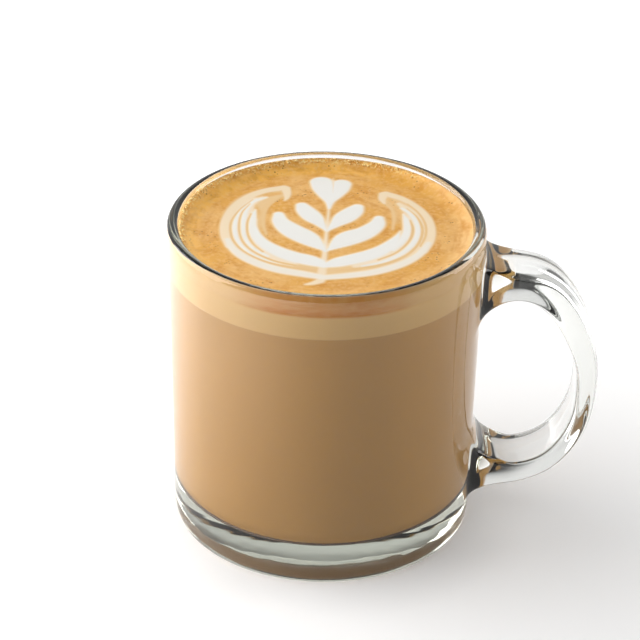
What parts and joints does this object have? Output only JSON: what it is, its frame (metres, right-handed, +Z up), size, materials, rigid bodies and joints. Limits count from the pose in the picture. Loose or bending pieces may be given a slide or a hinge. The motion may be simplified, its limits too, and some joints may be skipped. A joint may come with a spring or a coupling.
{
  "type": "latte",
  "caption": "Latte in a clear pressed-glass mug with a side handle, pale foam under a golden crema and a poured leaf-and-heart pattern on top.",
  "frame": {"origin": "centre of the mug's flat foot, on the mug's axis", "axes": "+Z up along the mug's axis, +X towards the handle, -Y towards the side with the stem end of the pattern"},
  "size_m": [0.1175, 0.0858, 0.0896],
  "materials": {
    "clear_glass": "fire-polished, clear",
    "milky_coffee": "opaque liquid, seen through glass",
    "milk_foam": "fine wet foam",
    "crema": "wet foam with small bubbles, soft sheen",
    "poured_milk": "smooth wet milk foam, soft sheen"
  },
  "bodies": {
    "root": {"mug": "clear_glass", "coffee": "milky_coffee", "milk_foam": "milk_foam", "crema": "crema", "latte_art": "poured_milk"}
  },
  "joints": []
}
